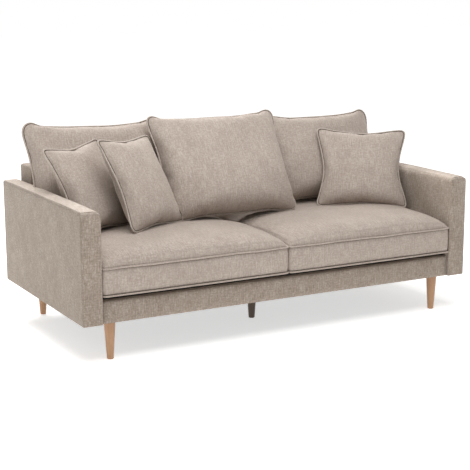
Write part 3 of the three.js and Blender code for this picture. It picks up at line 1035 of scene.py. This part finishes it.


# ---- Loose back cushions -----------------------------------------------------------------------
# Three fibre-filled cushions with knife edges: two panels sewn face to face with bias-cut piping
# in the seam and a zip along the foot, then filled, so that the sides pull in, the seam puckers
# and the corners stand out as soft ears. They press flat where they stand and lean. The piping is
# painted paler than the panels, a painted highlight, and a thin dark cord on each side of it is
# painted shade in the seam's crease.
# Paler tones for the loose cushions' piping: a painted highlight.
PIPING_HIGHLIGHT_TONES = ("978A80", "B4A89E", "D0C6BC")
PANEL_STEP = 0.014
PANEL_GAP = 0.006
PANEL_SLACK = (1.06, 1.07)  # how much wider and higher the panels are cut than the filled cushion
CUSHION_PIPING = 0.0040
RIM_PASSES = 24
PANEL_PASSES = 3
SETTLED_FILL = 0.22  # how much thicker the foot of a cushion is than its middle
FILL_FRAMES = 10
FILL_PRESSURE = 4.0
CLOTH_TENSION = 15.0
CLOTH_BENDING = 0.5
ZIP_REACH = 0.36  # how far the zip runs from the foot's middle, as a share of the width
PRESS_REACH = 0.6  # how far behind a point of the cushion its neighbour is looked for
PRESS_DEEPEST = 0.12  # a neighbour deeper in than this is not one that it presses on
PRESS_CLEARANCE = 0.002
PRESS_ROUNDS = 4
DOWN = Vector((0, 0, -1))
BACK = Vector((0, 1, 0))
LEFT = Vector((-1, 0, 0))
piping_highlight_chenille = woven_chenille("piping_chenille_painted_highlight", PIPING_HIGHLIGHT_TONES)


def by_ends(part):
    """Orders edges or faces by their verts, so that every run fills the case in the same way."""
    places = [vert.index for vert in part.verts]
    return min(places) * 1e5 + max(places)


def sewn_case(width, height, ear, fullness):
    """Two flat panels, front and back, joined round their edge, with corners of radius ear. The
    edges are cut fuller than straight, the foot most, because the filling settles there; fullness
    is (the sides', the foot's, the top's)."""
    bm = bmesh.new()
    columns, rows = round(width / PANEL_STEP), round(height / PANEL_STEP)
    bmesh.ops.create_grid(bm, x_segments=columns, y_segments=rows, size=0.5)
    for vert in bm.verts:
        x, z = vert.co.x * width, vert.co.y * height
        out_x = (abs(x) - (width / 2 - ear)) / ear
        out_z = (abs(z) - (height / 2 - ear)) / ear
        if out_x > 0 and out_z > 0:
            pull = max(out_x, out_z) / math.hypot(out_x, out_z)
            x = math.copysign(width / 2 - ear + ear * out_x * pull, x)
            z = math.copysign(height / 2 - ear + ear * out_z * pull, z)
        if z < 0:
            z *= 1 + fullness[1] * (1 - (2 * x / width) ** 2)
        else:
            z *= 1 + fullness[2] * (1 - (2 * x / width) ** 2)
        x *= 1 + fullness[0] * (1 - (2 * z / height) ** 2)
        vert.co = (x, -PANEL_GAP / 2, z)
    layer = bm.loops.layers.uv.new("cloth")
    for face in bm.faces:
        for loop in face.loops:
            loop[layer].uv = (loop.vert.co.x, loop.vert.co.z)
    grown = bmesh.ops.extrude_face_region(bm, geom=bm.faces[:])
    moved = [item for item in grown["geom"] if isinstance(item, bmesh.types.BMVert)]
    bmesh.ops.translate(bm, verts=moved, vec=(0, PANEL_GAP, 0))
    bm.verts.index_update()
    for parts in (bm.edges, bm.faces):
        parts.sort(key=by_ends)
    bmesh.ops.recalc_face_normals(bm, faces=bm.faces)
    return bm


def fill_case(name, bm, frames):
    """Fills a sewn case by a short cloth simulation, and returns the filled bmesh."""
    mesh = bpy.data.meshes.new(name)
    bm.to_mesh(mesh)
    case = bpy.data.objects.new(name, mesh)
    bpy.context.scene.collection.objects.link(case)
    cloth = case.modifiers.new("filling", "CLOTH")
    settings = cloth.settings
    settings.use_pressure = True
    settings.uniform_pressure_force = FILL_PRESSURE
    settings.effector_weights.gravity = 0
    settings.tension_stiffness = settings.compression_stiffness = CLOTH_TENSION
    settings.shear_stiffness = CLOTH_TENSION / 2
    settings.bending_stiffness = CLOTH_BENDING
    settings.quality = 6
    settings.mass = 0.3
    settings.air_damping = 1
    cloth.point_cache.frame_start = 1
    cloth.point_cache.frame_end = frames + 5
    for step in range(1, frames + 1):
        bpy.context.scene.frame_set(step)
    filled = case.evaluated_get(bpy.context.evaluated_depsgraph_get()).to_mesh()
    for vert, settled in zip(bm.verts, filled.vertices):
        vert.co = settled.co
    bpy.data.objects.remove(case)
    bpy.data.meshes.remove(mesh)
    bpy.context.scene.frame_set(1)
    return bm


def seam_rim(bm):
    """The verts of the seam, in order round the cushion, as pairs from the two panels."""
    flat = [face for face in bm.faces if face.tag]
    edges = {edge for face in flat for edge in face.edges}
    across = {e for e in edges if sum(f.tag for f in e.link_faces) == 2}
    start = min(across, key=lambda e: e.index)
    pairs, edge, face = [], start, start.link_faces[0]
    while True:
        pairs.append(tuple(edge.verts))
        following = next(e for e in face.edges if e in across and not set(e.verts) & set(edge.verts))
        face = next(f for f in following.link_faces if f != face)
        edge = following
        if edge == start:
            return pairs


def filled_case(name, size, cut):
    """One cushion's case, sewn, filled and brought to its filled size."""
    width, height, thickness = size
    bm = sewn_case(width * PANEL_SLACK[0], height * PANEL_SLACK[1], cut[0], cut[1:])
    bm.faces.ensure_lookup_table()
    for face in bm.faces:
        face.tag = abs(face.normal.y) < 0.5
    bm = fill_case(name, bm, FILL_FRAMES)
    spans = [max(v.co[i] for v in bm.verts) - min(v.co[i] for v in bm.verts) for i in range(3)]
    for vert in bm.verts:
        vert.co.x *= width / spans[0]
        vert.co.z *= height / spans[2]
        vert.co.y *= thickness / spans[1] * (1 - SETTLED_FILL * 2 * vert.co.z / height)
    return bm


def settle_seam(bm, pairs, width, height, shift):
    """Evens the seam between the corners, then smooths the panels and puckers them beside it."""
    for _ in range(RIM_PASSES):
        line = [(a.co + b.co) / 2 for a, b in pairs]
        for i, pair in enumerate(pairs):
            ease = (line[i - 1] + line[(i + 1) % len(line)]) / 2 - line[i]
            if abs(line[i].x) > 0.36 * width and abs(line[i].z) > 0.34 * height:
                ease.x = ease.z = 0
            for vert in pair:
                vert.co += ease * 0.5
    seam = {vert for pair in pairs for vert in pair}
    panels = [vert for vert in bm.verts if vert not in seam]
    for _ in range(PANEL_PASSES):
        bmesh.ops.smooth_vert(
            bm, verts=panels, factor=0.5, use_axis_x=True, use_axis_y=True, use_axis_z=True
        )
    for vert in panels:
        across, up = width / 2 - abs(vert.co.x), height / 2 - abs(vert.co.z)
        inside = max(0, min(across, up)) / PUCKER_REACH
        along = vert.co.x if up < across else vert.co.z
        side = math.copysign(1, vert.co.y)
        ripple = noise.noise(Vector((along * 26, side * 3, shift)))
        vert.co.y += side * PUCKER * ripple * inside * math.exp(1 - inside)


def keep_clear(bm, neighbour, direction):
    """Presses the cushion flat where it would pass into a neighbour that lies along direction."""
    tree = BVHTree.FromObject(neighbour, bpy.context.evaluated_depsgraph_get())
    for press in range(PRESS_ROUNDS):
        moved = set()
        for vert in bm.verts:
            start = vert.co - direction * PRESS_REACH
            hit, _, _, distance = tree.ray_cast(start, direction, PRESS_REACH + PRESS_CLEARANCE)
            if hit is not None and PRESS_REACH - distance < PRESS_DEEPEST:
                vert.co = hit - direction * PRESS_CLEARANCE
                moved.add(vert)
        if not moved or press == PRESS_ROUNDS - 1:
            return
        for _ in range(2):
            moved |= {edge.other_vert(v) for v in moved for edge in v.link_edges}
        near = sorted(moved, key=lambda vert: vert.index)
        bmesh.ops.smooth_vert(
            bm, verts=near, factor=0.4, use_axis_x=True, use_axis_y=True, use_axis_z=True
        )


def sew_trim(name, rim, place, axes, width):
    """Piping along the seam's line, a thin dark cord on each side as painted shade in its crease, and a
    zip at the foot.
    axes are the ways that the cushion's right, front and top face."""
    right, front, up = axes
    for _ in range(2):
        rim = [(rim[i - 1] + 2 * p + rim[(i + 1) % len(rim)]) / 4 for i, p in enumerate(rim)]
    from_middle = [p - Vector(place) for p in rim]
    outward = [way.normalized() for way in from_middle]
    corded = [p + out * CUSHION_PIPING * 0.7 for p, out in zip(rim, outward)]
    sunk = [
        [p + (side * front - out * 0.5) * CUSHION_PIPING for p, out in zip(rim, outward)]
        for side in (-1, 1)
    ]
    foot = [
        p
        for p, way in zip(rim, from_middle)
        if way.dot(up) < 0 and abs(way.dot(right)) < ZIP_REACH * width
    ]
    foot.sort(key=lambda p: p.dot(right))
    chain_line = [p - front * 0.006 + up * 0.004 for p in foot]
    piping = sew_cord(f"{name}_piping", [(corded, True)], CUSHION_PIPING, piping_highlight_chenille, sides=3)
    rows = [(line, True) for line in sunk]
    crease_shade_cords = sew_cord(f"{name}_crease_shade", rows, CREASE_CORD_RADIUS, crease_shade_cloth)
    chain = sew_cord(f"{name}_zip", [(chain_line, False)], ZIP_RADIUS, zip_coil)
    for piece in (piping, crease_shade_cords, chain):
        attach(piece, name)


def knife_edge_cushion(name, size, cut, place, turned, clear_of, shift):
    """Makes, fills, places and trims one cushion. size is (width, height, thickness) when filled,
    cut is (radius of the corners, fullness of the sides, of the foot, of the top), and turned is
    the degrees that it is turned about the vertical, leant back, and rolled."""
    width, height, _ = size
    bm = filled_case(name, size, cut)
    pairs = seam_rim(bm)
    settle_seam(bm, pairs, width, height, shift)
    turn, lean, roll = (math.radians(angle) for angle in turned)
    stand = (
        Matrix.Translation(place)
        @ Matrix.Rotation(turn, 4, "Z")
        @ Matrix.Rotation(-lean, 4, "X")
        @ Matrix.Rotation(-roll, 4, "Y")
    )
    bmesh.ops.transform(bm, matrix=stand, verts=bm.verts)
    for neighbour, direction in clear_of:
        keep_clear(bm, neighbour, direction)
    axes = [stand.to_3x3() @ Vector(way) for way in ((1, 0, 0), (0, -1, 0), (0, 0, 1))]
    layer = bm.loops.layers.uv["cloth"]
    bm.normal_update()
    for face in bm.faces:
        behind = 1.0 if face.normal.dot(axes[1]) < 0 else 0.0
        for loop in face.loops:
            loop[layer].uv = loop[layer].uv + Vector((shift + behind, shift * 0.6))
    rim = [(a.co + b.co) / 2 for a, b in pairs]
    cushion = finish_piece(f"{name}_filled", bm, chenille)
    smoother = cushion.modifiers.new("smooth_fill", "SUBSURF")
    smoother.levels = smoother.render_levels = 1
    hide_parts(f"{name}_cover", f"{name}_insert")
    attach(cushion, name)
    sew_trim(name, rim, place, axes, width)
    return cushion


on_seats = [(seat, DOWN) for seat in seat_cushions]
back_left = knife_edge_cushion(
    "back_cushion_left",
    size=(0.642, 0.470, 0.185),
    cut=(0.046, 0.05, 0.10, 0.03),
    place=(-0.6015, 0.203, 0.673),
    turned=(0, 20.5, -1.7),
    clear_of=on_seats,
    shift=7.3,
)
back_right = knife_edge_cushion(
    "back_cushion_right",
    size=(0.615, 0.435, 0.185),
    cut=(0.040, 0.06, 0.10, 0.035),
    place=(0.583, 0.203, 0.669),
    turned=(0, 20.5, 0),
    clear_of=on_seats,
    shift=8.9,
)
back_centre = knife_edge_cushion(
    "back_cushion_centre",
    size=(0.655, 0.512, 0.190),
    cut=(0.034, 0.05, 0.09, 0.03),
    place=(-0.028, 0.083, 0.684),
    turned=(0, 29.5, 0),
    clear_of=on_seats + [(back_left, BACK), (back_right, BACK)],
    shift=10.4,
)


# ---- Scatter cushions --------------------------------------------------------------------------
# Three small cushions of the same chenille and make, with tighter corners. Two are propped in the
# left end of the sofa, one against the other's edge, and one in the right end.
scatter_corner = knife_edge_cushion(
    "scatter_cushion_corner",
    size=(0.372, 0.400, 0.120),
    cut=(0.010, 0.0, 0.07, 0.02),
    place=(-0.728, 0.006, 0.641),
    turned=(30, 25, 1.2),
    clear_of=on_seats + [(arm_left, LEFT), (back_left, BACK)],
    shift=12.1,
)
scatter_left = knife_edge_cushion(
    "scatter_cushion_left",
    size=(0.390, 0.418, 0.120),
    cut=(0.010, 0.02, 0.08, 0.05),
    place=(-0.503, -0.053, 0.654),
    turned=(33.5, 27, -3),
    clear_of=on_seats + [(back_centre, BACK), (back_left, BACK)],
    shift=13.7,
)
scatter_right = knife_edge_cushion(
    "scatter_cushion_right",
    size=(0.425, 0.392, 0.120),
    cut=(0.010, 0.0, 0.07, 0.06),
    place=(0.671, -0.0255, 0.626),
    turned=(-27, 27, -2),
    clear_of=on_seats + [(back_right, BACK)],
    shift=15.2,
)
